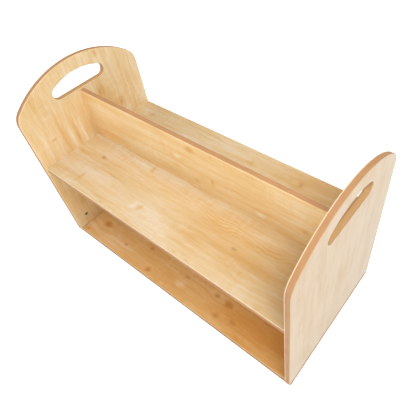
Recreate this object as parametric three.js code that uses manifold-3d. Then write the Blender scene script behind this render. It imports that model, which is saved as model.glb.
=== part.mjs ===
// Double-sided picture book browser bin: two arched end panels with hand slots
// stand on a full-length base board; a shelf between them carries a low centre
// divider, so there is a book trough on each side and an open compartment below.
// Millimetres, +Z up. X runs along the length, -Y is the front.
// The origin is on the floor, under the middle of the bin.

import * as THREE from 'three';
import { mergeVertices } from 'three/addons/utils/BufferGeometryUtils.js';
import Module from 'manifold-3d';

// ---------------------------------------------------------------- dimensions

const LENGTH = 830;              // over the outer faces of the end panels
const PANEL_DEPTH = 393;         // end panel, front edge to rear edge
const HEIGHT = 531;              // floor to the top of the arch
const BOARD = 15;                // thickness of every board
const ROUND = 3;                 // round-over on the exposed board edges
const ROUND_STEPS = 2;

const BASE_SETBACK = 4;          // base edge behind the end panel edge
const SHELF_SETBACK = 5;         // shelf edge behind the end panel edge
const SHELF_TOP = 287;           // height of the trough floor
const DIVIDER_HEIGHT = 150;      // divider above the trough floor

const ARCH_RADIUS = 281;         // top of the end panel
const SHOULDER_RADIUS = 50;      // arch to straight side
const ARCH_STEPS = 24;
const SHOULDER_STEPS = 6;

const SLOT_BOTTOM = 445;         // hand slot: flat lower edge, height over floor
const SLOT_TOP = 494;            // hand slot: crown of the upper arc
const SLOT_ARC_RADIUS = 166;
const SLOT_END_RADIUS = 17;
const SLOT_ARC_STEPS = 12;
const SLOT_END_STEPS = 7;

const GAP = 0.3;                 // clearance of a fitting in its hole

const NUT_DIAMETER = 10;         // cross dowel nut, seen on the panel's inner face
const NUT_LENGTH = 12;
const NUT_RECESS = 0.5;
const NUT_SETBACK = 39;          // from the panel's front or rear edge
const NUT_HEIGHT = 56;           // over the floor

const BOLT_DIAMETER = 5;         // base bolt, up through the base into the nut
const BOLT_LENGTH = 60;
const BOLT_HEAD_DIAMETER = 9;
const BOLT_HEAD_HEIGHT = 3.2;
const BOLT_SINK = 4;             // counterbore under the base
const BOLT_SOCKET = 3.4;

const CAM_DIAMETER = 15;         // cam housing in the underside of the shelf
const CAM_HEIGHT = 12;
const CAM_REACH = 34;            // cam axis from the shelf's end
const CAM_Y = 130;
const CAM_BOLT_SHAFT = 6;
const CAM_BOLT_THREAD = 5;
const CAM_BOLT_DEPTH = 11;       // thread in the end panel
const CAM_BOLT_HEAD = 6.4;
const CAM_BORE = 7.6;

const DOWEL_DIAMETER = 8;        // beech dowels
const DOWEL_LENGTH = 30;
const DOWEL_IN_PANEL = 9.5;      // part of a dowel held in the thinner side
const SHELF_DOWEL_Y = 60;
const BASE_DOWEL_Y = 90;
const DIVIDER_DOWEL_Z = [325, 400];

const SCREW_DIAMETER = 4;        // countersunk screws, shelf into divider
const SCREW_LENGTH = 50;
const SCREW_HEAD_DIAMETER = 8;
const SCREW_HEAD_HEIGHT = 2.6;
const SCREW_SINK = 0.4;
const SCREW_X = [-300, -100, 100, 300];

// ---------------------------------------------------------------- derived

const INNER = LENGTH / 2 - BOARD;            // inner face of an end panel
const PANEL_X = LENGTH / 2 - BOARD / 2;      // middle of an end panel
const SHELF_MID = SHELF_TOP - BOARD / 2;
const SHELF_UNDER = SHELF_TOP - BOARD;
const NUT_Y = PANEL_DEPTH / 2 - NUT_SETBACK;

// ---------------------------------------------------------------- solids

const wasm = await Module();
wasm.setup();

// A closed, outward-facing solid from any closed three.js geometry.
function solid(geometry) {
  const bare = new THREE.BufferGeometry();
  bare.setAttribute('position', geometry.attributes.position.clone());
  if (geometry.index) bare.setIndex(geometry.index.clone());
  const merged = mergeVertices(bare, 1e-4);
  const p = merged.attributes.position.array;
  const source = merged.index.array;
  const triangles = [];
  let volume = 0;
  const a = new THREE.Vector3(), b = new THREE.Vector3(), c = new THREE.Vector3();
  for (let i = 0; i < source.length; i += 3) {
    const [i0, i1, i2] = [source[i], source[i + 1], source[i + 2]];
    if (i0 === i1 || i1 === i2 || i2 === i0) continue;
    triangles.push(i0, i1, i2);
    a.fromArray(p, 3 * i0); b.fromArray(p, 3 * i1); c.fromArray(p, 3 * i2);
    volume += a.dot(b.cross(c));
  }
  if (volume < 0) {
    for (let i = 0; i < triangles.length; i += 3) {
      [triangles[i + 1], triangles[i + 2]] = [triangles[i + 2], triangles[i + 1]];
    }
  }
  return new wasm.Manifold(new wasm.Mesh({
    numProp: 3,
    vertProperties: new Float32Array(p),
    triVerts: new Uint32Array(triangles),
  }));
}

function geometryOf(body) {
  const mesh = body.getMesh();
  const geometry = new THREE.BufferGeometry();
  geometry.setAttribute('position', new THREE.BufferAttribute(new Float32Array(mesh.vertProperties), 3));
  geometry.setIndex(new THREE.BufferAttribute(new Uint32Array(mesh.triVerts), 1));
  geometry.computeVertexNormals();
  return geometry;
}

function cut(body, tools) {
  return tools.reduce((left, tool) => left.subtract(tool), body);
}

// A turned piece: [radius, height] pairs from the lower axis point to the upper.
function turned(profile, segments) {
  const geometry = new THREE.LatheGeometry(profile.map(([r, h]) => new THREE.Vector2(r, h)), segments);
  geometry.rotateX(Math.PI / 2);
  return geometry;
}

// Drills: straight round holes along an axis, from a start point.
function drillZ(x, y, z0, z1, diameter, segments = 16) {
  const g = new THREE.CylinderGeometry(diameter / 2, diameter / 2, z1 - z0, segments);
  g.rotateX(Math.PI / 2);
  g.translate(x, y, (z0 + z1) / 2);
  return solid(g);
}
function drillX(x0, x1, y, z, diameter, segments = 16) {
  const g = new THREE.CylinderGeometry(diameter / 2, diameter / 2, x1 - x0, segments);
  g.rotateZ(Math.PI / 2);
  g.translate((x0 + x1) / 2, y, z);
  return solid(g);
}
function block(x0, x1, y0, y1, z0, z1) {
  const g = new THREE.BoxGeometry(x1 - x0, y1 - y0, z1 - z0);
  g.translate((x0 + x1) / 2, (y0 + y1) / 2, (z0 + z1) / 2);
  return solid(g);
}

// An outline in (Y, Z) swept along X.
const YZ_ALONG_X = new THREE.Matrix4().makeBasis(
  new THREE.Vector3(0, 1, 0), new THREE.Vector3(0, 0, 1), new THREE.Vector3(1, 0, 0));

function arcPoints(cx, cy, radius, from, to, steps) {
  const points = [];
  for (let i = 0; i <= steps; i++) {
    const angle = from + (to - from) * i / steps;
    points.push(new THREE.Vector2(cx + radius * Math.cos(angle), cy + radius * Math.sin(angle)));
  }
  return points;
}

function distinct(points) {
  return points.filter((p, i) => p.distanceTo(points[(i + points.length - 1) % points.length]) > 1e-3);
}

// ---------------------------------------------------------------- end panel

// Local frame: x from -BOARD/2 (outer face) to +BOARD/2 (inner face), z up from
// the panel's lower edge, which stands on the base.
function endPanel() {
  const half = PANEL_DEPTH / 2;
  const top = HEIGHT - BOARD;
  const arcZ = top - ARCH_RADIUS;
  const shoulderY = half - SHOULDER_RADIUS;
  const shoulderZ = arcZ + Math.sqrt((ARCH_RADIUS - SHOULDER_RADIUS) ** 2 - shoulderY ** 2);
  const tangent = Math.atan2(shoulderZ - arcZ, shoulderY);

  const outline = distinct([
    new THREE.Vector2(-half, 0),
    new THREE.Vector2(half, 0),
    ...arcPoints(shoulderY, shoulderZ, SHOULDER_RADIUS, 0, tangent, SHOULDER_STEPS),
    ...arcPoints(0, arcZ, ARCH_RADIUS, tangent, Math.PI - tangent, ARCH_STEPS),
    ...arcPoints(-shoulderY, shoulderZ, SHOULDER_RADIUS, Math.PI - tangent, Math.PI, SHOULDER_STEPS),
  ]);

  const slotBottom = SLOT_BOTTOM - BOARD;
  const slotArcZ = SLOT_TOP - BOARD - SLOT_ARC_RADIUS;
  const endZ = slotBottom + SLOT_END_RADIUS;
  const endY = Math.sqrt((SLOT_ARC_RADIUS - SLOT_END_RADIUS) ** 2 - (endZ - slotArcZ) ** 2);
  const slotTangent = Math.atan2(endZ - slotArcZ, endY);
  const slot = distinct([
    ...arcPoints(endY, endZ, SLOT_END_RADIUS, -Math.PI / 2, slotTangent, SLOT_END_STEPS),
    ...arcPoints(0, slotArcZ, SLOT_ARC_RADIUS, slotTangent, Math.PI - slotTangent, SLOT_ARC_STEPS),
    ...arcPoints(-endY, endZ, SLOT_END_RADIUS, Math.PI - slotTangent, Math.PI * 1.5, SLOT_END_STEPS),
  ]);

  const shape = new THREE.Shape(outline);
  shape.holes.push(new THREE.Path(slot.reverse()));
  const geometry = new THREE.ExtrudeGeometry(shape, {
    depth: BOARD - 2 * ROUND,
    bevelEnabled: true,
    bevelThickness: ROUND,
    bevelSize: ROUND,
    bevelOffset: -ROUND,
    bevelSegments: ROUND_STEPS,
    curveSegments: 1,
    steps: 1,
  });
  geometry.translate(0, 0, -BOARD / 2 + ROUND);
  geometry.applyMatrix4(YZ_ALONG_X);

  const face = BOARD / 2;
  const shelfZ = SHELF_MID - BOARD;
  const nutZ = NUT_HEIGHT - BOARD;
  const tools = [];
  for (const side of [-1, 1]) {
    tools.push(drillX(face - NUT_RECESS - NUT_LENGTH - GAP, face + 1, side * NUT_Y, nutZ, NUT_DIAMETER + 2 * GAP, 16));
    tools.push(drillZ(0, side * NUT_Y, -1, BOLT_SINK + BOLT_LENGTH - BOARD + 2, BOLT_DIAMETER + 2 * GAP, 12));
    tools.push(drillZ(0, side * BASE_DOWEL_Y, -1, DOWEL_LENGTH - DOWEL_IN_PANEL + 0.5, DOWEL_DIAMETER + 2 * GAP, 12));
    tools.push(drillX(face - DOWEL_IN_PANEL - 0.5, face + 1, side * SHELF_DOWEL_Y, shelfZ, DOWEL_DIAMETER + 2 * GAP, 12));
    tools.push(drillX(face - CAM_BOLT_DEPTH - 0.5, face + 1, side * CAM_Y, shelfZ, CAM_BOLT_THREAD + 2 * GAP, 12));
  }
  for (const z of DIVIDER_DOWEL_Z) {
    tools.push(drillX(face - DOWEL_IN_PANEL - 0.5, face + 1, 0, z - BOARD, DOWEL_DIAMETER + 2 * GAP, 12));
  }
  return geometryOf(cut(solid(geometry), tools));
}

// ---------------------------------------------------------------- boards

// Rounded bar section in (Y, Z); the lower pair of corners can stay square.
function barSection(halfY, z0, z1, roundLower) {
  const points = [];
  if (roundLower) {
    points.push(...arcPoints(-halfY + ROUND, z0 + ROUND, ROUND, Math.PI, Math.PI * 1.5, ROUND_STEPS));
    points.push(...arcPoints(halfY - ROUND, z0 + ROUND, ROUND, Math.PI * 1.5, Math.PI * 2, ROUND_STEPS));
  } else {
    points.push(new THREE.Vector2(-halfY, z0), new THREE.Vector2(halfY, z0));
  }
  points.push(...arcPoints(halfY - ROUND, z1 - ROUND, ROUND, 0, Math.PI / 2, ROUND_STEPS));
  points.push(...arcPoints(-halfY + ROUND, z1 - ROUND, ROUND, Math.PI / 2, Math.PI, ROUND_STEPS));
  return new THREE.Shape(distinct(points));
}

function bar(section, length) {
  const geometry = new THREE.ExtrudeGeometry(section, { depth: length, bevelEnabled: false, steps: 1, curveSegments: 1 });
  geometry.translate(0, 0, -length / 2);
  geometry.applyMatrix4(YZ_ALONG_X);
  return geometry;
}

// Local frame of the shelf: z from -BOARD/2 to +BOARD/2.
function shelfBoard() {
  const half = PANEL_DEPTH / 2 - SHELF_SETBACK;
  const body = solid(bar(barSection(half, -BOARD / 2, BOARD / 2, true), 2 * INNER));
  const under = -BOARD / 2;
  const tools = [];
  for (const end of [-1, 1]) {
    for (const side of [-1, 1]) {
      const camX = end * (INNER - CAM_REACH);
      tools.push(drillZ(camX, side * CAM_Y, under - 1, under + CAM_HEIGHT + GAP, CAM_DIAMETER + 2 * GAP, 18));
      tools.push(drillX(Math.min(camX, end * (INNER + 1)), Math.max(camX, end * (INNER + 1)), side * CAM_Y, 0, CAM_BORE, 12));
      const inner = end * (INNER - (DOWEL_LENGTH - DOWEL_IN_PANEL) - 0.5);
      tools.push(drillX(Math.min(inner, end * (INNER + 1)), Math.max(inner, end * (INNER + 1)), side * SHELF_DOWEL_Y, 0, DOWEL_DIAMETER + 2 * GAP, 12));
    }
  }
  const headR = SCREW_HEAD_DIAMETER / 2 + GAP;
  const shankR = SCREW_DIAMETER / 2 + GAP;
  for (const x of SCREW_X) {
    const hole = turned([[0, -1], [headR, -1], [headR, SCREW_SINK], [shankR, SCREW_SINK + SCREW_HEAD_HEIGHT], [shankR, BOARD + 1], [0, BOARD + 1]], 16);
    hole.translate(x, 0, under);
    tools.push(solid(hole));
  }
  return geometryOf(cut(body, tools));
}

// Local frame of the divider: z up from its lower edge.
function dividerBoard() {
  const body = solid(bar(barSection(BOARD / 2, 0, DIVIDER_HEIGHT, false), 2 * INNER));
  const tools = [];
  for (const end of [-1, 1]) {
    for (const z of DIVIDER_DOWEL_Z) {
      const inner = end * (INNER - (DOWEL_LENGTH - DOWEL_IN_PANEL) - 0.5);
      tools.push(drillX(Math.min(inner, end * (INNER + 1)), Math.max(inner, end * (INNER + 1)), 0, z - SHELF_TOP, DOWEL_DIAMETER + 2 * GAP, 12));
    }
  }
  for (const x of SCREW_X) {
    tools.push(drillZ(x, 0, -1, SCREW_SINK + SCREW_LENGTH - BOARD + 1, SCREW_DIAMETER + 2 * GAP, 12));
  }
  return geometryOf(cut(body, tools));
}

// Local frame of the base: z up from the floor. Rounded on all four sides.
function baseBoard() {
  const halfX = LENGTH / 2;
  const halfY = PANEL_DEPTH / 2 - BASE_SETBACK;
  const corner = 4;
  const outline = distinct([
    ...arcPoints(halfX - corner, -halfY + corner, corner, -Math.PI / 2, 0, 3),
    ...arcPoints(halfX - corner, halfY - corner, corner, 0, Math.PI / 2, 3),
    ...arcPoints(-halfX + corner, halfY - corner, corner, Math.PI / 2, Math.PI, 3),
    ...arcPoints(-halfX + corner, -halfY + corner, corner, Math.PI, Math.PI * 1.5, 3),
  ]);
  const geometry = new THREE.ExtrudeGeometry(new THREE.Shape(outline), {
    depth: BOARD - 2 * ROUND,
    bevelEnabled: true,
    bevelThickness: ROUND,
    bevelSize: ROUND,
    bevelOffset: -ROUND,
    bevelSegments: ROUND_STEPS,
    curveSegments: 1,
    steps: 1,
  });
  geometry.translate(0, 0, ROUND);
  const tools = [];
  for (const end of [-1, 1]) {
    for (const side of [-1, 1]) {
      tools.push(drillZ(end * PANEL_X, side * NUT_Y, -1, BOLT_SINK, BOLT_HEAD_DIAMETER + 2 * GAP, 16));
      tools.push(drillZ(end * PANEL_X, side * NUT_Y, -1, BOARD + 1, BOLT_DIAMETER + 2 * GAP, 12));
      tools.push(drillZ(end * PANEL_X, side * BASE_DOWEL_Y, BOARD - DOWEL_IN_PANEL - 0.5, BOARD + 1, DOWEL_DIAMETER + 2 * GAP, 12));
    }
  }
  return geometryOf(cut(solid(geometry), tools));
}

// ---------------------------------------------------------------- fittings

// Cross dowel nut: axis along x, slotted face at +x, bolt hole along z.
function barrelNut() {
  const r = NUT_DIAMETER / 2, h = NUT_LENGTH / 2, c = 0.4;
  const g = turned([[0, -h], [r - c, -h], [r, -h + c], [r, h - c], [r - c, h], [0, h]], 16);
  g.rotateY(Math.PI / 2);
  const boltX = -(BOARD / 2 - NUT_RECESS - h);
  return geometryOf(cut(solid(g), [
    drillZ(boltX, 0, -r - 1, r + 1, BOLT_DIAMETER + 2 * GAP, 12),
    block(h - 1.1, h + 1, -0.6, 0.6, -r - 1, r + 1),
  ]));
}

// Base bolt: seat at z = 0, head below, shank above.
function baseBolt() {
  const r = BOLT_DIAMETER / 2, R = BOLT_HEAD_DIAMETER / 2, h = BOLT_HEAD_HEIGHT;
  const g = turned([[0, -h], [R - 1.4, -h], [R - 0.4, -h + 0.7], [R, -h + 1.8], [R, 0], [r, 0], [r, BOLT_LENGTH - 1], [r - 0.9, BOLT_LENGTH], [0, BOLT_LENGTH]], 12);
  const socket = drillZ(0, 0, -h - 1, -h + 2, BOLT_SOCKET, 6);
  return geometryOf(cut(solid(g), [socket]));
}

// Cam housing: axis along z, visible cross-slotted face at z = 0, mouth at +x.
function cam() {
  const R = CAM_DIAMETER / 2, c = 0.4;
  const g = turned([[0, 0], [R - c, 0], [R, c], [R, CAM_HEIGHT], [0, CAM_HEIGHT]], 18);
  return geometryOf(cut(solid(g), [
    drillX(-2.5, R + 2, 0, BOARD / 2, CAM_BORE, 12),
    block(-4.5, 4.5, -0.8, 0.8, -1, 2),
    block(-0.8, 0.8, -4.5, 4.5, -1, 2),
  ]));
}

// Cam bolt: axis along x, shoulder at x = 0 on the panel's inner face, head at +x.
function camBolt() {
  const t = CAM_BOLT_THREAD / 2, s = CAM_BOLT_SHAFT / 2, k = CAM_BOLT_HEAD / 2;
  const g = turned([[0, -CAM_BOLT_DEPTH], [t - 0.7, -CAM_BOLT_DEPTH], [t, -CAM_BOLT_DEPTH + 1], [t, 0], [s, 0], [s, 26], [1.8, 27], [1.8, 30], [k, 31.2], [k, 33.6], [k - 1, 35], [0, 35]], 10);
  g.rotateY(Math.PI / 2);
  return geometryOf(solid(g));
}

// Dowel: axis along z, centred.
function dowel() {
  const r = DOWEL_DIAMETER / 2, h = DOWEL_LENGTH / 2;
  return geometryOf(solid(turned([[0, -h], [r - 0.8, -h], [r, -h + 1.2], [r, h - 1.2], [r - 0.8, h], [0, h]], 12)));
}

// Divider screw: flat head at z = 0, point upwards.
function dividerScrew() {
  const r = SCREW_DIAMETER / 2, R = SCREW_HEAD_DIAMETER / 2, h = SCREW_HEAD_HEIGHT;
  const g = turned([[0, 0], [R, 0], [R - 0.2, 0.4], [r, h], [r, SCREW_LENGTH - 6], [0, SCREW_LENGTH]], 12);
  return geometryOf(cut(solid(g), [
    block(-2.1, 2.1, -0.5, 0.5, -1, 1.6),
    block(-0.5, 0.5, -2.1, 2.1, -1, 1.6),
  ]));
}

// ---------------------------------------------------------------- assembly

const bin = new THREE.Group();

function finish(color, roughness, metalness) {
  return () => new THREE.MeshStandardMaterial({ color, roughness, metalness });
}
const maple = finish('#e8c496', 0.42, 0);
const maplePale = finish('#e9cda6', 0.42, 0);
const mapleShade = finish('#e2b57c', 0.42, 0);
const beech = finish('#c99a66', 0.7, 0);
const zinc = finish('#8e9094', 0.38, 1);
const zincCast = finish('#a7a8aa', 0.45, 1);

function add(parent, name, geometry, material, x, y, z, rx = 0, ry = 0, rz = 0) {
  const mesh = new THREE.Mesh(geometry, material());
  mesh.name = name;
  mesh.position.set(x, y, z);
  mesh.rotation.set(rx, ry, rz);
  parent.add(mesh);
  return mesh;
}

add(bin, 'base_board', baseBoard(), mapleShade, 0, 0, 0);
add(bin, 'shelf_board', shelfBoard(), maple, 0, 0, SHELF_MID);
add(bin, 'divider_board', dividerBoard(), maple, 0, 0, SHELF_TOP);

const panelGeometry = endPanel();
const nutGeometry = barrelNut();
const boltGeometry = baseBolt();
const camGeometry = cam();
const camBoltGeometry = camBolt();
const dowelGeometry = dowel();
const screwGeometry = dividerScrew();

// Both ends are the same assembly, one turned half round about the vertical.
for (const [end, turn] of [['left', 0], ['right', Math.PI]]) {
  const group = new THREE.Group();
  group.rotation.z = turn;
  bin.add(group);
  const x = -PANEL_X;          // middle of the panel
  const face = -INNER;         // inner face of the panel

  add(group, `end_panel_${end}`, panelGeometry, maplePale, x, 0, BOARD);

  for (const side of [-1, 1]) {
    const front = (side < 0) === (turn === 0);
    const tag = `${end}_${front ? 'front' : 'rear'}`;
    add(group, `barrel_nut_${tag}`, nutGeometry, zinc, face - NUT_RECESS - NUT_LENGTH / 2, side * NUT_Y, NUT_HEIGHT);
    add(group, `base_bolt_${tag}`, boltGeometry, zinc, x, side * NUT_Y, BOLT_SINK);
    add(group, `base_dowel_${tag}`, dowelGeometry, beech, x, side * BASE_DOWEL_Y, BOARD - DOWEL_IN_PANEL + DOWEL_LENGTH / 2);
    add(group, `shelf_cam_${tag}`, camGeometry, zincCast, face + CAM_REACH, side * CAM_Y, SHELF_UNDER, 0, 0, Math.PI);
    add(group, `cam_bolt_${tag}`, camBoltGeometry, zinc, face, side * CAM_Y, SHELF_MID);
    add(group, `shelf_dowel_${tag}`, dowelGeometry, beech, face - DOWEL_IN_PANEL + DOWEL_LENGTH / 2, side * SHELF_DOWEL_Y, SHELF_MID, 0, Math.PI / 2, 0);
  }
  DIVIDER_DOWEL_Z.forEach((z, i) => {
    add(group, `divider_dowel_${end}_${i ? 'upper' : 'lower'}`, dowelGeometry, beech, face - DOWEL_IN_PANEL + DOWEL_LENGTH / 2, 0, z, 0, Math.PI / 2, 0);
  });
}

SCREW_X.forEach((x, i) => {
  add(bin, `divider_screw_${i + 1}`, screwGeometry, zinc, x, 0, SHELF_UNDER + SCREW_SINK);
});

export default bin;
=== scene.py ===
import math

import bpy
from mathutils import Matrix, Vector
from mathutils.geometry import delaunay_2d_cdt


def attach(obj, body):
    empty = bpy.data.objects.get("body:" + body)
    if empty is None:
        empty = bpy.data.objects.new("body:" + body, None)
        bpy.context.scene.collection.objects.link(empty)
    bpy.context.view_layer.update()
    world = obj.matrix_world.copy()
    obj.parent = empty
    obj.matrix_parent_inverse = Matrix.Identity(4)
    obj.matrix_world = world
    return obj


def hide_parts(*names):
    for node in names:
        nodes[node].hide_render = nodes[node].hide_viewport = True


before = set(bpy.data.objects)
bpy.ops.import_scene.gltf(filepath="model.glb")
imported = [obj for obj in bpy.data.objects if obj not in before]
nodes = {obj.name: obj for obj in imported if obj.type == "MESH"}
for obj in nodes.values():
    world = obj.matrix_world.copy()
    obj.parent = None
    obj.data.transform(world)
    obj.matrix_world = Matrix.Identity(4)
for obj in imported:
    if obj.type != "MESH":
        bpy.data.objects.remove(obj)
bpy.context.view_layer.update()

scene = bpy.context.scene

# ------------------------------------------------------------------ dimensions
# Millimetres in the shared frame: X along the length, -Y the front, +Z up.

LENGTH = 830.0
PANEL_DEPTH = 393.0
HEIGHT = 531.0
BOARD = 15.0
ROUND = 3.0
HALF = BOARD / 2

BASE_HALF = PANEL_DEPTH / 2 - 4
BASE_CORNER = 4.0
SHELF_HALF = PANEL_DEPTH / 2 - 5
SHELF_TOP = 287.0
DIVIDER_TOP = SHELF_TOP + 150.0
INNER = LENGTH / 2 - BOARD
PANEL_X = LENGTH / 2 - HALF

ARCH_RADIUS = 281.0
SHOULDER_RADIUS = 50.0
SLOT_BOTTOM = 445.0
SLOT_TOP = 494.0
SLOT_ARC_RADIUS = 166.0
SLOT_END_RADIUS = 17.0
SLOT_ROUND = 2.5

NUT_Y = PANEL_DEPTH / 2 - 39
NUT_Z = 56.0
CAM_X = INNER - 34
CAM_Y = 130.0
SHELF_MID = SHELF_TOP - HALF
SCREW_X = (-300.0, -100.0, 100.0, 300.0)


# ------------------------------------------------------------------ meshes

def lerp(a, b, t):
    return a + (b - a) * t


class Skin:
    """Collects welded vertices and outward faces, in millimetres."""

    def __init__(self):
        self.index, self.verts, self.faces = {}, [], []

    def vert(self, p):
        key = tuple(round(c * 2e3) for c in p)
        if key not in self.index:
            self.index[key] = len(self.verts)
            self.verts.append(Vector(p))
        return self.index[key]

    def face(self, points, outward):
        ids = []
        for p in points:
            i = self.vert(p)
            if not ids or ids[-1] != i:
                ids.append(i)
        if len(ids) > 1 and ids[0] == ids[-1]:
            ids.pop()
        if len(set(ids)) < 3:
            return
        normal = Vector((0, 0, 0))
        for k in range(len(ids)):
            normal += self.verts[ids[k]].cross(self.verts[ids[(k + 1) % len(ids)]])
        if normal.dot(outward) < 0:
            ids.reverse()
        self.faces.append(ids)

    def mesh(self, name):
        me = bpy.data.meshes.new(name)
        me.from_pydata([v * 0.001 for v in self.verts], [], self.faces)
        me.validate()
        me.update()
        return me


def arc(cx, cy, radius, a0, a1, steps, inside=False):
    """Points of an arc with their unit normals, away from the centre or towards it."""
    s = -1.0 if inside else 1.0
    found = []
    for i in range(steps + 1):
        a = lerp(a0, a1, i / steps)
        c, d = math.cos(a), math.sin(a)
        found.append(((cx + radius * c, cy + radius * d), (s * c, s * d)))
    return found


def line(p, q, normal, pitch):
    steps = max(1, round(math.dist(p, q) / pitch))
    return [((lerp(p[0], q[0], i / steps), lerp(p[1], q[1], i / steps)), normal) for i in range(steps + 1)]


def loop_of(runs):
    """One closed loop from runs that meet end to end: points, and the inset direction at each."""
    flat = [item for run in runs for item in run]
    points, normals = [], []
    for p, n in flat:
        if points and math.dist(points[-1], p) < 1e-4:
            m = normals[-1]
            k = 1 + m[0] * n[0] + m[1] * n[1]
            normals[-1] = ((m[0] + n[0]) / k, (m[1] + n[1]) / k)
        else:
            points.append(p)
            normals.append(n)
    if math.dist(points[0], points[-1]) < 1e-4:
        m, n = normals.pop(), normals[0]
        points.pop()
        k = 1 + m[0] * n[0] + m[1] * n[1]
        normals[0] = ((m[0] + n[0]) / k, (m[1] + n[1]) / k)
    return points, normals


def inset(loop, d):
    return [(p[0] - d * n[0], p[1] - d * n[1]) for p, n in zip(*loop)]


def inside(p, polygon):
    hit = False
    for i in range(len(polygon)):
        a, b = polygon[i - 1], polygon[i]
        if (a[1] > p[1]) != (b[1] > p[1]) and p[0] < (b[0] - a[0]) * (p[1] - a[1]) / (b[1] - a[1]) + a[0]:
            hit = not hit
    return hit


def flat_face(skin, place, outward, loops, pitch):
    """A plane face with its holes, over an even inner grid."""
    coords, edges = [], []
    for loop in loops:
        start = len(coords)
        coords += [Vector(p) for p in loop]
        edges += [(start + i, start + (i + 1) % len(loop)) for i in range(len(loop))]
    rim = [Vector(p) for loop in loops for p in loop]
    xs, ys = [p[0] for p in loops[0]], [p[1] for p in loops[0]]
    nx = max(1, round((max(xs) - min(xs)) / pitch))
    ny = max(1, round((max(ys) - min(ys)) / pitch))
    for i in range(1, nx):
        for j in range(1, ny):
            p = (lerp(min(xs), max(xs), i / nx), lerp(min(ys), max(ys), j / ny))
            if not inside(p, loops[0]) or any(inside(p, hole) for hole in loops[1:]):
                continue
            if min((p[0] - q[0]) ** 2 + (p[1] - q[1]) ** 2 for q in rim) < (0.45 * pitch) ** 2:
                continue
            coords.append(Vector(p))
    verts, _, faces, *_ = delaunay_2d_cdt(coords, edges, [], 1, 1e-5)
    for f in faces:
        middle = sum((verts[i] for i in f), Vector((0, 0))) / len(f)
        if inside(middle, loops[0]) and not any(inside(middle, hole) for hole in loops[1:]):
            skin.face([place(verts[i][0], verts[i][1]) for i in f], outward)


def plate(name, place, axis, loops, rounds, low, high, pitch=14.0, steps=6):
    """A board between two planes, with every edge of every loop rounded over.
    place(u, v, w) gives the point in space, w from low to high along axis."""
    skin = Skin()
    for w, sign in ((low, -1), (high, 1)):
        flat_face(skin, lambda u, v, w=w: place(u, v, w), axis * sign,
                  [inset(loop, r) for loop, r in zip(loops, rounds)], pitch)
    for loop, r in zip(loops, rounds):
        rings = []
        for i in range(steps + 1):
            a = math.pi / 2 * i / steps
            rings.append((r * (1 - math.sin(a)), low + r * (1 - math.cos(a))))
        rings += [(d, low + high - w) for d, w in reversed(rings)]
        shells = [[place(u, v, w) for u, v in inset(loop, d)] for d, w in rings]
        origin = Vector(place(0, 0, 0))
        n = len(loop[0])
        for k in range(len(shells) - 1):
            a, b = shells[k], shells[k + 1]
            for i in range(n):
                j = (i + 1) % n
                m = loop[1][i], loop[1][j]
                side = Vector(place(m[0][0] + m[1][0], m[0][1] + m[1][1], 0)) - origin
                lean = axis * (-1 if k < len(shells) / 2 - 1 else 1 if k > len(shells) / 2 - 1 else 0)
                skin.face([a[i], a[j], b[j], b[i]], side.normalized() + lean * 0.2)
    return skin.mesh(name)


def bar(name, section, half_length, pitch=20.0):
    """A straight board along X from a closed section of (y, z) points with normals."""
    skin = Skin()
    points, normals = section
    steps = max(1, round(2 * half_length / pitch))
    n = len(points)
    for s in range(steps):
        x0, x1 = lerp(-half_length, half_length, s / steps), lerp(-half_length, half_length, (s + 1) / steps)
        for i in range(n):
            j = (i + 1) % n
            (y0, z0), (y1, z1) = points[i], points[j]
            out = Vector((0, normals[i][0] + normals[j][0], normals[i][1] + normals[j][1]))
            skin.face([(x0, y0, z0), (x0, y1, z1), (x1, y1, z1), (x1, y0, z0)], out)
    for x, sign in ((-half_length, -1), (half_length, 1)):
        flat_face(skin, lambda u, v, x=x: (x, u, v), Vector((sign, 0, 0)), [points], 5.0)
    return skin.mesh(name)


def cutter(p, axis, profile, segments):
    """A turned drill: (radius, depth) pairs from a point, along an axis."""
    skin = Skin()
    axis = Vector(axis)
    side = Vector((1, 0, 0)) if abs(axis.x) < 0.5 else Vector((0, 1, 0))
    up = axis.cross(side)
    rings = []
    for r, d in profile:
        rings.append([Vector(p) + axis * d + (side * math.cos(a) + up * math.sin(a)) * r
                      for a in (2 * math.pi * i / segments for i in range(segments))])
    for k in range(len(rings) - 1):
        slope = Vector(((profile[k + 1][1] - profile[k][1]), (profile[k][0] - profile[k + 1][0])))
        for i in range(segments):
            j = (i + 1) % segments
            radial = rings[k][i] + rings[k][j] - 2 * (Vector(p) + axis * profile[k][1])
            if radial.length < 1e-6:
                radial = rings[k + 1][i] + rings[k + 1][j] - 2 * (Vector(p) + axis * profile[k + 1][1])
            out = radial.normalized() * slope.x + axis * slope.y
            skin.face([rings[k][i], rings[k][j], rings[k + 1][j], rings[k + 1][i]], out)
    skin.face(rings[0], -axis)
    skin.face(rings[-1], axis)
    return skin


def joined(skins):
    whole = Skin()
    for s in skins:
        base = len(whole.verts)
        whole.verts += s.verts
        whole.faces += [[base + i for i in f] for f in s.faces]
    return whole.mesh("drills")


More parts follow.
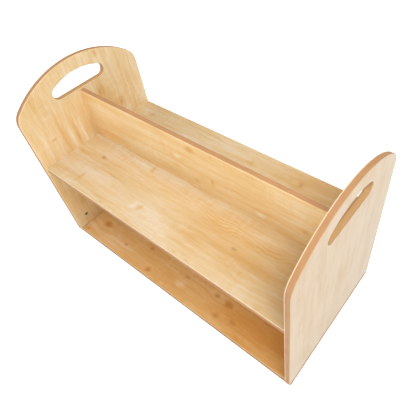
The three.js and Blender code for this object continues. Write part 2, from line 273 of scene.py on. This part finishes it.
def piece(name, me, drills=()):
    """An object from a mesh, drilled, with smooth rounds and true flats."""
    ob = bpy.data.objects.new(name, me)
    scene.collection.objects.link(ob)
    tool = None
    if drills:
        tool = bpy.data.objects.new(name + "_drills", joined(drills))
        scene.collection.objects.link(tool)
        cut = ob.modifiers.new("cut", "BOOLEAN")
        cut.operation, cut.solver, cut.object, cut.use_self = "DIFFERENCE", "EXACT", tool, True
    bpy.context.view_layer.update()
    made = bpy.data.meshes.new_from_object(ob.evaluated_get(bpy.context.evaluated_depsgraph_get()))
    ob.modifiers.clear()
    if tool:
        drill_mesh = tool.data
        bpy.data.objects.remove(tool)
        bpy.data.meshes.remove(drill_mesh)
    made.materials.clear()
    made.shade_smooth()
    made.set_sharp_from_angle(angle=math.radians(32))
    ob.data = made
    bpy.data.meshes.remove(me)
    made.name = name
    even = ob.modifiers.new("flats", "WEIGHTED_NORMAL")
    even.mode, even.weight, even.keep_sharp = "FACE_AREA", 80, True
    bpy.context.view_layer.update()
    final = bpy.data.meshes.new_from_object(ob.evaluated_get(bpy.context.evaluated_depsgraph_get()))
    ob.modifiers.clear()
    ob.data = final
    bpy.data.meshes.remove(made)
    final.name = name
    return ob


# ------------------------------------------------------------------ boards

def panel_loops():
    h = PANEL_DEPTH / 2
    arch_z = HEIGHT - ARCH_RADIUS
    sy = h - SHOULDER_RADIUS
    sz = arch_z + math.sqrt((ARCH_RADIUS - SHOULDER_RADIUS) ** 2 - sy ** 2)
    t = math.atan2(sz - arch_z, sy)
    outline = loop_of([
        line((-h, BOARD), (h, BOARD), (0, -1), 13),
        line((h, BOARD), (h, sz), (1, 0), 13),
        arc(sy, sz, SHOULDER_RADIUS, 0, t, 22),
        arc(0, arch_z, ARCH_RADIUS, t, math.pi - t, 110),
        arc(-sy, sz, SHOULDER_RADIUS, math.pi - t, math.pi, 22),
        line((-h, sz), (-h, BOARD), (-1, 0), 13),
    ])
    cz = SLOT_TOP - SLOT_ARC_RADIUS
    ez = SLOT_BOTTOM + SLOT_END_RADIUS
    ey = math.sqrt((SLOT_ARC_RADIUS - SLOT_END_RADIUS) ** 2 - (ez - cz) ** 2)
    u = math.atan2(ez - cz, ey)
    slot = loop_of([
        line((-ey, SLOT_BOTTOM), (ey, SLOT_BOTTOM), (0, 1), 6),
        arc(ey, ez, SLOT_END_RADIUS, -math.pi / 2, u, 26, True),
        arc(0, cz, SLOT_ARC_RADIUS, u, math.pi - u, 44, True),
        arc(-ey, ez, SLOT_END_RADIUS, math.pi - u, 1.5 * math.pi, 26, True),
    ])
    return outline, slot


def end_panel(end):
    """end is -1 for the left panel and 1 for the right one."""
    mid = end * PANEL_X
    me = plate("end_panel", lambda u, v, w: (mid + w, u, v), Vector((1, 0, 0)),
               panel_loops(), (ROUND, SLOT_ROUND), -HALF, HALF)
    face = end * INNER
    inward = (end, 0, 0)
    drills = []
    for side in (-1, 1):
        drills.append(cutter((face, side * NUT_Y, NUT_Z), inward, ((6.3, -1), (5.3, 0.35), (5.3, 12.8)), 40))
        drills.append(cutter((mid, side * NUT_Y, BOARD), (0, 0, 1), ((2.8, -1), (2.8, 51)), 24))
        drills.append(cutter((mid, side * 90.0, BOARD), (0, 0, 1), ((4.3, -1), (4.3, 21)), 32))
        drills.append(cutter((face, side * 60.0, SHELF_MID), inward, ((4.3, -1), (4.3, 10)), 32))
        drills.append(cutter((face, side * CAM_Y, SHELF_MID), inward, ((2.8, -1), (2.8, 11.5)), 24))
    for z in (325.0, 400.0):
        drills.append(cutter((face, 0.0, z), inward, ((4.3, -1), (4.3, 10)), 32))
    return piece("left_end_board" if end < 0 else "right_end_board", me, drills)


def bar_section(half, z0, z1, round_lower):
    r, q = ROUND, math.pi / 2
    runs = []
    if round_lower:
        runs += [arc(-half + r, z0 + r, r, 2 * q, 3 * q, 6),
                 line((-half + r, z0), (half - r, z0), (0, -1), 14),
                 arc(half - r, z0 + r, r, 3 * q, 4 * q, 6)]
    else:
        runs += [line((-half, z0), (half, z0), (0, -1), 5)]
    low = z0 + r if round_lower else z0
    tall = max(1, round((z1 - z0) / 12))
    side = [((half, lerp(low, z1 - r, i / tall)), (1, 0)) for i in range(tall + 1)]
    runs += [side,
             arc(half - r, z1 - r, r, 0, q, 6),
             line((half - r, z1), (-half + r, z1), (0, 1), 14 if half > 20 else 5),
             arc(-half + r, z1 - r, r, q, 2 * q, 6),
             [((-half, p[1]), (-1, 0)) for p, _ in reversed(side)]]
    return loop_of(runs)


def shelf_board():
    me = bar("shelf", bar_section(SHELF_HALF, SHELF_TOP - BOARD, SHELF_TOP, True), INNER)
    under = SHELF_TOP - BOARD
    drills = []
    for end in (-1, 1):
        for side in (-1, 1):
            drills.append(cutter((end * CAM_X, side * CAM_Y, under), (0, 0, 1), ((8.8, -1), (7.8, 0.3), (7.8, 12.3)), 56))
            drills.append(cutter((end * INNER, side * CAM_Y, SHELF_MID), (-end, 0, 0), ((3.8, -1), (3.8, 34)), 28))
            drills.append(cutter((end * INNER, side * 60.0, SHELF_MID), (-end, 0, 0), ((4.3, -1), (4.3, 21)), 32))
    for x in SCREW_X:
        drills.append(cutter((x, 0.0, under), (0, 0, 1), ((4.3, -1), (4.3, 0.4), (2.3, 3.0), (2.3, 16)), 32))
    return piece("shelf", me, drills)


def divider_board():
    me = bar("divider", bar_section(HALF, SHELF_TOP, DIVIDER_TOP, False), INNER)
    drills = []
    for end in (-1, 1):
        for z in (325.0, 400.0):
            drills.append(cutter((end * INNER, 0.0, z), (-end, 0, 0), ((4.3, -1), (4.3, 21)), 32))
    for x in SCREW_X:
        drills.append(cutter((x, 0.0, SHELF_TOP), (0, 0, 1), ((2.3, -1), (2.3, 36.4)), 24))
    return piece("divider", me, drills)


def base_board():
    hx, hy, c, q = LENGTH / 2, BASE_HALF, BASE_CORNER, math.pi / 2
    outline = loop_of([
        line((-hx + c, -hy), (hx - c, -hy), (0, -1), 14),
        arc(hx - c, -hy + c, c, -q, 0, 8),
        line((hx, -hy + c), (hx, hy - c), (1, 0), 14),
        arc(hx - c, hy - c, c, 0, q, 8),
        line((hx - c, hy), (-hx + c, hy), (0, 1), 14),
        arc(-hx + c, hy - c, c, q, 2 * q, 8),
        line((-hx, hy - c), (-hx, -hy + c), (-1, 0), 14),
        arc(-hx + c, -hy + c, c, 2 * q, 3 * q, 8),
    ])
    me = plate("base", lambda u, v, w: (u, v, w), Vector((0, 0, 1)), [outline], (ROUND,), 0.0, BOARD)
    drills = []
    for end in (-1, 1):
        for side in (-1, 1):
            x = end * PANEL_X
            drills.append(cutter((x, side * NUT_Y, 0.0), (0, 0, 1), ((5.6, -1), (4.8, 0.3), (4.8, 4.0), (2.8, 4.0), (2.8, 16)), 40))
            drills.append(cutter((x, side * 90.0, BOARD), (0, 0, -1), ((4.3, -1), (4.3, 10)), 32))
    return piece("base", me, drills)


# ------------------------------------------------------------------ materials

class Graph:
    """Short forms for building a material's nodes."""

    def __init__(self, name):
        self.material = bpy.data.materials.new(name)
        self.material.use_nodes = True
        self.tree = self.material.node_tree
        self.tree.nodes.clear()

    def node(self, kind, **settings):
        n = self.tree.nodes.new(kind)
        for k, v in settings.items():
            setattr(n, k, v)
        return n

    def put(self, socket, value):
        if isinstance(value, bpy.types.NodeSocket):
            self.tree.links.new(value, socket)
        elif value is not None:
            socket.default_value = value

    def math(self, op, a, b=None, c=None, clamp=False):
        n = self.node("ShaderNodeMath", operation=op, use_clamp=clamp)
        for s, v in zip(n.inputs, (a, b, c)):
            self.put(s, v)
        return n.outputs[0]

    def add(self, a, b):
        return self.math("ADD", a, b)

    def mul(self, a, b):
        return self.math("MULTIPLY", a, b)

    def vec(self, op, a, b=None):
        n = self.node("ShaderNodeVectorMath", operation=op)
        self.put(n.inputs[0], a)
        self.put(n.inputs[1], b)
        return n.outputs["Value"] if op in ("LENGTH", "DISTANCE", "DOT_PRODUCT") else n.outputs["Vector"]

    def xyz(self, v):
        n = self.node("ShaderNodeSeparateXYZ")
        self.put(n.inputs[0], v)
        return n.outputs

    def combine(self, x, y, z):
        n = self.node("ShaderNodeCombineXYZ")
        for s, v in zip(n.inputs, (x, y, z)):
            self.put(s, v)
        return n.outputs[0]

    def span(self, value, a, b, c=0.0, d=1.0, kind="SMOOTHSTEP"):
        n = self.node("ShaderNodeMapRange", interpolation_type=kind)
        n.clamp = True
        for s, v in zip(n.inputs, (value, a, b, c, d)):
            self.put(s, v)
        return n.outputs[0]

    def noise(self, v, stretch, detail=2.0, rough=0.5, shift=0.0, warp=0.0):
        """Noise over v with a feature size along each axis; about -0.5 to 0.5."""
        m = self.node("ShaderNodeMapping")
        self.put(m.inputs["Vector"], v)
        m.inputs["Scale"].default_value = [1 / s for s in stretch]
        m.inputs["Location"].default_value = (shift * 7.31, shift * 3.17, shift * 5.77)
        n = self.node("ShaderNodeTexNoise", noise_dimensions="3D")
        self.put(n.inputs["Vector"], m.outputs[0])
        n.inputs["Scale"].default_value = 1.0
        n.inputs["Detail"].default_value = detail
        n.inputs["Roughness"].default_value = rough
        n.inputs["Distortion"].default_value = warp
        return self.math("SUBTRACT", n.outputs[0], 0.5)

    def mix(self, factor, a, b, mode="MIX"):
        n = self.node("ShaderNodeMix", data_type="RGBA", blend_type=mode)
        self.put(n.inputs[0], factor)
        self.put(n.inputs[6], (*a, 1.0) if isinstance(a, tuple) else a)
        self.put(n.inputs[7], (*b, 1.0) if isinstance(b, tuple) else b)
        return n.outputs[2]

    def ramp(self, factor, stops, smooth=True):
        n = self.node("ShaderNodeValToRGB")
        n.color_ramp.interpolation = "B_SPLINE" if smooth else "LINEAR"
        e = n.color_ramp.elements
        while len(e) < len(stops):
            e.new(0.5)
        for el, (p, c) in zip(e, stops):
            el.position, el.color = p, (*c, 1.0)
        self.put(n.inputs[0], factor)
        return n.outputs[0]

    def spot(self, v, s, c, ls, lc):
        """1 in the middle of an oval on the board, 0 outside it."""
        m = self.node("ShaderNodeMapping")
        self.put(m.inputs["Vector"], v)
        m.inputs["Scale"].default_value = (1 / ls, 1 / lc, 0)
        m.inputs["Location"].default_value = (-s / ls, -c / lc, 0)
        return self.span(self.vec("LENGTH", m.outputs[0]), 0.0, 1.0, 1.0, 0.0)

    def surface(self, colour, roughness, metallic=0.0, normal=None, coat=None):
        b = self.node("ShaderNodeBsdfPrincipled")
        self.put(b.inputs["Base Color"], colour)
        self.put(b.inputs["Roughness"], roughness)
        b.inputs["Metallic"].default_value = metallic
        if normal is not None:
            self.put(b.inputs["Normal"], normal)
        if coat:
            b.inputs["Coat Weight"].default_value, b.inputs["Coat Roughness"].default_value = coat
        out = self.node("ShaderNodeOutputMaterial")
        self.tree.links.new(b.outputs[0], out.inputs[0])
        return self.material

    def bump(self, height, strength, distance):
        n = self.node("ShaderNodeBump")
        n.inputs["Strength"].default_value = strength
        n.inputs["Distance"].default_value = distance
        self.put(n.inputs["Height"], height)
        return n.outputs[0]


# The pale edge line's colour: partly the facing's cut edge, partly a painted highlight on the roundover.
CREAM_LINE_AND_HIGHLIGHT = (0.825, 0.628, 0.406)
CORE = (0.490, 0.252, 0.104)


def tinted(tint, factors, power=1.0):
    return tuple(t * f ** power for t, f in zip(tint, factors))


def maple(name, grain, across, middle, seed, faces, edge=(1.0, 0.0, 0.0), knots=(), flecks=(), tone_and_shade_clouds=(), waves=(), slot=None):
    """Maple faced board. grain and across are axis letters; middle is (axis letter, place of
    the board's middle plane, side of the better face). faces gives the mean colour, the strength
    of the figure and that of the pores for the better and the other face; the mean colours partly
    paint the light and shade each board gets. edge scales the core's colour, and gives how far the
    core reaches round the better and the other face's corner. slot is a hand slot's (low, high,
    half width), round which the edge is coloured darker and more golden as painted shade. The
    tone clouds' wide ovals paint shade and light over an area. All places and sizes, along and
    across the grain, are in millimetres."""
    g = Graph(name)
    where = g.node("ShaderNodeTexCoord").outputs["Object"]
    big = g.node("ShaderNodeVectorMath", operation="SCALE")
    g.put(big.inputs[0], where)
    big.inputs["Scale"].default_value = 1000.0
    axes = dict(zip("xyz", g.xyz(big.outputs[0])))
    t = g.mul(g.math("SUBTRACT", axes[middle[0]], middle[1]), float(middle[2]))
    depth = g.math("ABSOLUTE", t)
    flip = g.math("SIGN", t)
    p = g.combine(g.mul(axes[grain], flip), g.mul(axes[across], flip), g.mul(flip, 40.0 + 9 * seed))

    # The figure wanders a little, and parts round each knot.
    drift = g.noise(p, (260, 90, 30), 2.0, 0.5, seed)
    ripple = g.noise(p, (44, 26, 30), 2.0, 0.5, seed + 3.3)
    parts = g.xyz(p)
    c = g.add(parts[1], g.add(g.mul(drift, 30.0), g.mul(ripple, 9.0)))
    for s0, c0, size, _ in knots:
        near = g.spot(p, s0, c0, size * 6.0, size * 3.4)
        push = g.mul(g.mul(near, g.math("SUBTRACT", parts[1], c0)), -0.6)
        c = g.add(c, push)
    q = g.combine(parts[0], c, parts[2])
    warped = g.combine(g.add(parts[0], g.mul(ripple, 14.0)), g.add(parts[1], g.mul(ripple, 8.0)), 0.0)

    broad = g.noise(q, (340, 30, 30), 2.0, 0.55, seed + 1.1)
    streak = g.noise(q, (110, 7.5, 30), 3.0, 0.6, seed + 2.2)
    fibre = g.noise(q, (26, 1.7, 30), 2.0, 0.65, seed + 4.4)
    cloud = g.noise(p, (95, 55, 30), 2.0, 0.5, seed + 5.5)
    curl = g.noise(q, (9, 30, 30), 2.0, 0.5, seed + 6.6)
    curl_where = g.span(g.noise(p, (120, 60, 30), 1.0, 0.5, seed + 7.7), -0.05, 0.15)

    open_pores = g.span(t, -1.0, 1.0, faces[1][2], faces[0][2])
    tone = g.add(0.5, g.mul(broad, 0.75))
    tone = g.add(tone, g.mul(streak, 0.80))
    tone = g.add(tone, g.mul(cloud, 0.50))
    tone = g.add(tone, g.mul(fibre, g.add(0.14, g.mul(open_pores, 4.0))))
    tone = g.add(tone, g.mul(g.mul(curl, curl_where), 0.48))
    # Tone clouds: the wide ones paint shade (darker) or light (paler) over an area of the board.
    for s0, c0, ls, lc, amount in tone_and_shade_clouds:
        tone = g.add(tone, g.mul(g.spot(warped, s0, c0, ls, lc), amount))
    for s0, c0, ls, lc, spacing, amount in waves:
        sway = g.mul(g.math("SINE", g.mul(g.add(parts[0], -82.0), 2 * math.pi / 150.0)), 8.0)
        lines = g.math("SINE", g.mul(g.add(g.add(c, sway), g.mul(ripple, 8.0)), 2 * math.pi / spacing))
        lines = g.span(lines, 0.0, 1.0)
        tone = g.add(tone, g.mul(g.mul(lines, g.spot(p, s0, c0, ls, lc)), amount))
    shades = []
    for tint, power, pore in faces:
        pale = power if pore else 0.4 * power
        shades.append(g.ramp(tone, ((0.0, tinted(tint, (1.045, 1.15, 1.40), pale)), (0.5, tint),
                                    (1.0, tinted(tint, (0.945, 0.85, 0.68), power))), smooth=False))
    face = g.mix(g.span(t, -1.0, 1.0), shades[1], shades[0])
    brown = tinted(faces[0][0], (0.72, 0.51, 0.36))

    # Short pores along the grain, and the dark marks of small knots.
    pores = g.noise(q, (13, 1.2, 30), 1.0, 0.5, seed + 8.8)
    face = g.mix(g.mul(g.span(pores, 0.14, 0.30), open_pores), face, brown)
    for s0, c0, ls, lc, amount in flecks:
        face = g.mix(g.mul(g.spot(warped, s0, c0, ls, lc), amount), face, brown)
    for s0, c0, size, amount in knots:
        face = g.mix(g.mul(g.spot(warped, s0, c0, size * 1.3, size * 0.9), amount), face, brown)

    # The facing's cut edge shows as a pale line, partly a painted highlight on the roundover, then the brown
    # lacquered core.
    wobble = g.mul(g.noise(big.outputs[0], (14, 14, 14), 2.0, 0.5, seed + 9.9), 0.5)
    bare = g.span(t, -1.0, 1.0, edge[2], edge[1])
    skinned = g.add(depth, wobble)
    rim = g.math("SUBTRACT", skinned, bare)
    core_tint = tinted(CORE, (edge[0],) * 3)
    core_v = g.add(0.5, g.mul(g.noise(big.outputs[0], (26, 26, 26), 3.0, 0.6, seed + 11.0), 0.5))
    layers = g.noise(g.combine(g.mul(parts[0], 0.02), g.mul(parts[1], 0.02), t), (1, 1, 1.3), 2.0, 0.6, seed + 12.0)
    specks = g.noise(big.outputs[0], (1.1, 1.1, 1.1), 2.0, 0.7, seed + 13.0)
    core_v = g.add(core_v, g.add(g.mul(layers, 0.7), g.mul(specks, 0.6)))
    core = g.ramp(core_v, ((0.1, tinted(core_tint, (1.12, 1.16, 1.2))), (0.5, core_tint), (0.95, tinted(core_tint, (0.78, 0.72, 0.66)))))
    line_tint = g.mix(g.span(bare, 0.0, 0.8), CREAM_LINE_AND_HIGHLIGHT, face)
    # Round the hand slot the pale line turns dark brown and the core more golden: painted shade on the slot's
    # walls.
    if slot:
        near = g.mul(g.span(axes[grain], slot[0] - 5, slot[0] - 3), g.span(axes[grain], slot[1] + 3, slot[1] + 5, 1.0, 0.0))
        near = g.mul(near, g.span(g.math("ABSOLUTE", axes[across]), slot[2] + 3, slot[2] + 5, 1.0, 0.0))
        line_tint = g.mix(near, line_tint, tinted(CORE, (0.78, 0.74, 0.70)))
        core = g.mix(near, core, g.ramp(core_v, ((0.1, (0.55, 0.325, 0.135)), (0.9, (0.42, 0.235, 0.086)))))
    colour = g.mix(g.span(skinned, 6.75, 7.10), line_tint, face)
    colour = g.mix(g.span(rim, 5.25, 5.65), core, colour)

    gloss = g.add(0.37, g.mul(cloud, 0.10))
    gloss = g.add(gloss, g.mul(fibre, 0.10))
    gloss = g.add(gloss, g.span(depth, 5.5, 7.0, 0.26, 0.0))
    relief = g.add(g.mul(fibre, g.add(0.05, g.mul(open_pores, 4.5))), g.mul(g.math("MULTIPLY", specks, g.span(depth, 5.5, 7.0, 1.0, 0.0)), 0.6))
    normal = g.bump(relief, 0.12, 0.0004)
    return g.surface(colour, gloss, 0.0, normal)


def metal(name, colour, dark, rough, seed, scratch):
    g = Graph(name)
    where = g.node("ShaderNodeTexCoord").outputs["Object"]
    big = g.node("ShaderNodeVectorMath", operation="SCALE")
    g.put(big.inputs[0], where)
    big.inputs["Scale"].default_value = 1000.0
    p = big.outputs[0]
    blotch = g.noise(p, (4, 4, 4), 3.0, 0.6, seed)
    fine = g.noise(p, scratch, 2.0, 0.6, seed + 2)
    tone = g.add(0.5, g.add(g.mul(blotch, 0.9), g.mul(fine, 0.7)))
    shade = g.ramp(tone, ((0.15, dark), (0.75, colour)))
    gloss = g.add(rough, g.add(g.mul(blotch, 0.18), g.mul(fine, 0.22)))
    return g.surface(shade, gloss, 1.0, g.bump(fine, 0.25, 0.00008))


def beech(name, seed):
    g = Graph(name)
    where = g.node("ShaderNodeTexCoord").outputs["Object"]
    big = g.node("ShaderNodeVectorMath", operation="SCALE")
    g.put(big.inputs[0], where)
    big.inputs["Scale"].default_value = 1000.0
    p = big.outputs[0]
    broad = g.noise(p, (9, 9, 9), 2.0, 0.5, seed)
    fine = g.noise(p, (1.6, 0.7, 1.6), 2.0, 0.6, seed + 1)
    tone = g.add(0.5, g.add(g.mul(broad, 0.7), g.mul(fine, 0.6)))
    shade = g.ramp(tone, ((0.1, (0.66, 0.44, 0.24)), (0.9, (0.50, 0.29, 0.13))))
    return g.surface(shade, g.add(0.62, g.mul(fine, 0.2)), 0.0, g.bump(fine, 0.2, 0.0002))


# ------------------------------------------------------------------ the bin

left = end_panel(-1)
right = end_panel(1)
shelf = shelf_board()
divider = divider_board()
base = base_board()

# The face colours were set to each board's look under these lamps, so they partly paint light and shade: the base's
# deep orange is painted shade under the shelf, and the outside face's darker, greyer colour is partly its own tone,
# partly painted shade offsetting the key light on it.
SHELF_FACE = ((0.668, 0.486, 0.265), 2.0, 0.12)
DIVIDER_FACE = ((0.828, 0.582, 0.284), 1.9, 0.12)
INSIDE_FACE = ((0.755, 0.556, 0.299), 1.9, 0.12)
OUTSIDE_FACE_TONE_AND_SHADE = ((0.564, 0.425, 0.266), 2.0, 0.0)
BASE_FACE_PAINTED_SHADE = ((0.735, 0.438, 0.169), 2.2, 0.15)
UNDER_FACE = ((0.720, 0.515, 0.280), 1.9, 0.10)

# Knots: along, across, size, depth of colour. Flecks and tone clouds: along, across, half length,
# half width, amount; the wide clouds paint shade or light over an area. Waves: the same, with the spacing of the
# lines before the amount.
# Left panel: the wide cloud at (130, -150), low at the front, paints the shade under the shelf.
left_maple = maple(
    "maple_left", "z", "y", ("x", -PANEL_X, 1), 1.0, (INSIDE_FACE, OUTSIDE_FACE_TONE_AND_SHADE), (0.92, 0.6, 0.8), slot=(SLOT_BOTTOM, SLOT_TOP, 86.0),
    knots=((402, 47, 8, 0.55), (336, 103, 8, 0.55)),
    flecks=((351, -136, 4, 9, 0.50), (508, 72, 14, 6, 0.40), (74, -172, 4, 7, 0.40), (352, 158, 22, 4, 0.30)),
    tone_and_shade_clouds=((402, 47, 28, 22, 0.36), (336, 103, 32, 24, 0.36), (370, 60, 90, 45, 0.16),
            (330, -67, 80, 9, 0.42), (350, -105, 80, 6, 0.30), (330, -84, 80, 9, -0.40),
            (330, -47, 80, 8, -0.40), (350, -30, 80, 7, 0.32), (420, 140, 120, 9, -0.12), (400, 125, 150, 80, 0.16),
            (351, -136, 8, 18, 0.25), (505, 70, 26, 16, 0.36), (470, -150, 60, 30, 0.12),
            (130, -150, 190, 110, 0.28)))
right_maple = maple(
    "maple_right", "z", "y", ("x", PANEL_X, 1), 2.0, (OUTSIDE_FACE_TONE_AND_SHADE, INSIDE_FACE), (0.97, 0.8, -0.9), slot=(SLOT_BOTTOM, SLOT_TOP, 86.0),
    tone_and_shade_clouds=((250, -60, 260, 10, 0.26), (250, -25, 260, 14, -0.10), (230, -120, 220, 12, 0.20),
            (260, 55, 260, 12, 0.20), (240, 100, 240, 16, -0.08), (80, -140, 40, 14, 0.25)))
# Shelf: the wide clouds at (340, -90), (400, -120) and (300, 160) darken the right end as painted shade from the
# right panel; the pale ones at (-350, -90), (-300, -140), (-60, -30) and (-130, 125) paint light at the left end
# and along the divider.
shelf_maple = maple(
    "maple_shelf", "x", "y", ("z", SHELF_MID, 1), 3.0, (SHELF_FACE, UNDER_FACE), (0.95, 0.0, 0.0),
    knots=((-298, -69, 9, 0.90), (199, -101, 8, 0.85)),
    flecks=((-292, -71, 13, 4, 0.50), (150, -121, 45, 2.4, 0.40), (270, -126, 90, 2.6, 0.36),
            (-172, -184, 16, 2.6, 0.60), (92, -184, 12, 2.6, 0.50), (130, -185, 12, 2.6, 0.45),
            (-326, 146, 8, 18, 0.50), (216, 146, 8, 16, 0.70), (52, 142, 14, 9, 0.35)),
    tone_and_shade_clouds=((-368, -84, 55, 13, 0.42), (-350, -90, 110, 110, -0.14), (-215, -102, 65, 9, 0.26), (-142, -26, 9, 24, 0.40),
            (-294, -150, 8, 26, 0.34), (-90, -140, 12, 20, -0.30), (-71, -139, 9, 18, 0.36),
            (270, -113, 100, 14, 0.26), (340, -90, 210, 150, 0.22), (-20, -150, 170, 42, -0.16),
            (120, -90, 130, 60, 0.10), (-380, 145, 75, 60, 0.06), (65, 142, 12, 20, 0.25),
            (-60, -30, 220, 22, -0.12), (-130, 125, 230, 60, -0.12), (300, 160, 270, 120, 0.55), (216, 146, 22, 28, 0.25),
            (400, -120, 60, 90, 0.20), (150, -110, 210, 110, 0.20), (-300, -140, 130, 60, -0.10)),
    waves=((135, -56, 110, 26, 9.0, 0.42), (262, -62, 110, 26, 9.0, 0.26)))
# Divider: the long clouds at (-100, 300) and (200, 300) paint shade in the crease above the shelf, and (380, 370)
# paints shade at the end by the right panel.
divider_maple = maple(
    "maple_divider", "x", "z", ("y", 0.0, -1), 4.0, (DIVIDER_FACE, DIVIDER_FACE), (1.02, 0.7, 0.7),
    knots=((-68, 367, 4, 0.50), (325, 342, 7, 0.50)),
    flecks=((5, 420, 16, 9, 0.50), (66, 342, 6, 13, 0.45), (10, 317, 9, 6, 0.35)),
    tone_and_shade_clouds=((5, 417, 22, 17, 0.50), (-45, 372, 22, 12, -0.50), (-50, 338, 30, 12, 0.25),
            (66, 342, 16, 18, 0.28), (10, 317, 18, 11, 0.28), (210, 317, 22, 14, -0.60),
            (215, 325, 50, 26, 0.22), (325, 342, 30, 18, 0.25), (80, 427, 20, 8, 0.22), (380, 370, 70, 70, 0.20),
            (-330, 400, 130, 40, -0.06), (-100, 300, 330, 22, 0.16), (200, 300, 200, 18, 0.16)))
# Base: the wide cloud at (300, -140) paints shade over the right end, and the pale ones at (-380, -165) and (-250,
# -160) paint light at the left end.
base_maple = maple(
    "maple_base", "x", "y", ("z", HALF, 1), 5.0, (BASE_FACE_PAINTED_SHADE, UNDER_FACE), (0.60, 0.4, 0.0),
    knots=((-340, -130, 15, 0.85), (-147, -114, 10, 0.85), (-227, -150, 9, 0.70), (-105, -174, 12, 0.75),
           (15, -122, 11, 0.75), (125, -117, 12, 0.85), (165, -121, 15, 0.95), (207, -155, 11, 0.75),
           (155, -167, 13, 0.75), (-385, -180, 9, 0.60)),
    flecks=((160, -128, 5, 9, 0.45), (-336, -138, 14, 4, 0.40)),
    tone_and_shade_clouds=((10, -152, 28, 16, -0.50), (-340, -130, 26, 18, 0.28), (165, -121, 26, 16, 0.28),
            (-380, -165, 60, 26, -0.25), (300, -140, 220, 85, 0.62), (-250, -160, 150, 40, -0.16), (-105, -174, 22, 12, 0.25)))

boards = {
    left: ("end_panel_left", left_maple),
    right: ("end_panel_right", right_maple),
    shelf: ("shelf_board", shelf_maple),
    divider: ("divider_board", divider_maple),
    base: ("base_board", base_maple),
}
for ob, (node, material) in boards.items():
    ob.data.materials.append(material)
    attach(ob, "root")
    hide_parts(node)

# Barrel nuts get a much darker zinc than the other hardware.
dark_zinc = metal("zinc_dark", (0.21, 0.205, 0.21), (0.085, 0.085, 0.095), 0.40, 20.0, (0.6, 0.6, 0.6))
zinc = metal("zinc_plate", (0.50, 0.50, 0.51), (0.26, 0.26, 0.28), 0.34, 21.0, (0.5, 6, 0.5))
cast = metal("zinc_cast", (0.56, 0.56, 0.57), (0.34, 0.34, 0.35), 0.42, 22.0, (0.9, 0.9, 0.9))
peg = beech("beech_peg", 23.0)
for name, ob in nodes.items():
    if ob.hide_render:
        continue
    chosen = peg if "dowel" in name else dark_zinc if "nut" in name else cast if "cam_" in name and "bolt" not in name else zinc
    ob.data.materials.clear()
    ob.data.materials.append(chosen)

# ------------------------------------------------------------------ stage

def floor_material():
    """A white light table: it glows a little, more so away from the bin."""
    g = Graph("pale_floor")
    where = g.node("ShaderNodeTexCoord").outputs["Object"]
    fine = g.noise(where, (0.6, 0.6, 0.6), 2.0, 0.5, 31.0)
    far = g.span(g.vec("LENGTH", where), 0.55, 1.5, 0.34, 0.68)
    material = g.surface(g.mix(g.add(0.5, fine), (0.90, 0.90, 0.90), (0.92, 0.92, 0.92)), 0.9)
    shader = next(n for n in g.tree.nodes if n.type == "BSDF_PRINCIPLED")
    shader.inputs["Emission Color"].default_value = (1.0, 1.0, 1.0, 1.0)
    g.put(shader.inputs["Emission Strength"], far)
    return material


me = bpy.data.meshes.new("floor")
me.from_pydata([(-8, -8, -0.0003), (8, -8, -0.0003), (8, 8, -0.0003), (-8, 8, -0.0003)], [], [(0, 1, 2, 3)])
floor = bpy.data.objects.new("floor", me)
scene.collection.objects.link(floor)
me.materials.append(floor_material())

world = bpy.data.worlds.new("studio")
scene.world = world
world.use_nodes = True
back = world.node_tree.nodes["Background"]
back.inputs["Color"].default_value = (1.0, 1.0, 1.0, 1.0)
# The studio is white all round to look at, and lights the bin only a little.
seen = world.node_tree.nodes.new("ShaderNodeLightPath")
glow = world.node_tree.nodes.new("ShaderNodeMapRange")
glow.inputs["To Min"].default_value = 0.02
glow.inputs["To Max"].default_value = 1.0
world.node_tree.links.new(seen.outputs["Is Camera Ray"], glow.inputs["Value"])
world.node_tree.links.new(glow.outputs["Result"], back.inputs["Strength"])


def softbox(name, place, target, size, power):
    data = bpy.data.lights.new(name, "AREA")
    data.shape, data.size, data.size_y, data.energy = "RECTANGLE", size[0], size[1], power
    ob = bpy.data.objects.new(name, data)
    scene.collection.objects.link(ob)
    ob.location = place
    ob.rotation_euler = (Vector(target) - Vector(place)).to_track_quat("-Z", "Y").to_euler()
    ob.visible_camera = False
    return ob


AIM = (0.0, 0.0, 0.25)
softbox("overhead", (0.0, 0.0, 2.8), AIM, (4.0, 4.0), 16.0)
softbox("key_right", (1.6, -0.3, 2.3), AIM, (1.8, 1.8), 44.0)
softbox("fill_front", (-0.35, -2.3, 0.9), AIM, (1.6, 1.6), 15.5)
softbox("fill_camera", (1.15, -0.95, 2.2), AIM, (1.6, 1.6), 20.0)
softbox("fill_left", (-1.9, -0.3, 2.0), AIM, (1.8, 1.8), 20.0)
softbox("fill_back", (0.0, 1.9, 2.0), AIM, (1.8, 1.8), 14.5)

scene.view_settings.view_transform = "Standard"
scene.view_settings.look = "None"

# ------------------------------------------------------------------ camera

lens = bpy.data.cameras.new("camera")
lens.sensor_fit, lens.sensor_width = "AUTO", 36.0
lens.lens = 35.66368
lens.shift_x, lens.shift_y = -0.082213, -0.025889
lens.clip_start, lens.clip_end = 0.05, 50.0
camera = bpy.data.objects.new("camera", lens)
scene.collection.objects.link(camera)
camera.matrix_world = Matrix((
    (0.78310473, -0.41833540, 0.46015484, 0.58963222),
    (0.61651905, 0.61926767, -0.48622197, -0.46405257),
    (-0.08155516, 0.66445696, 0.74286318, 1.04493177),
    (0.0, 0.0, 0.0, 1.0)))
scene.camera = camera
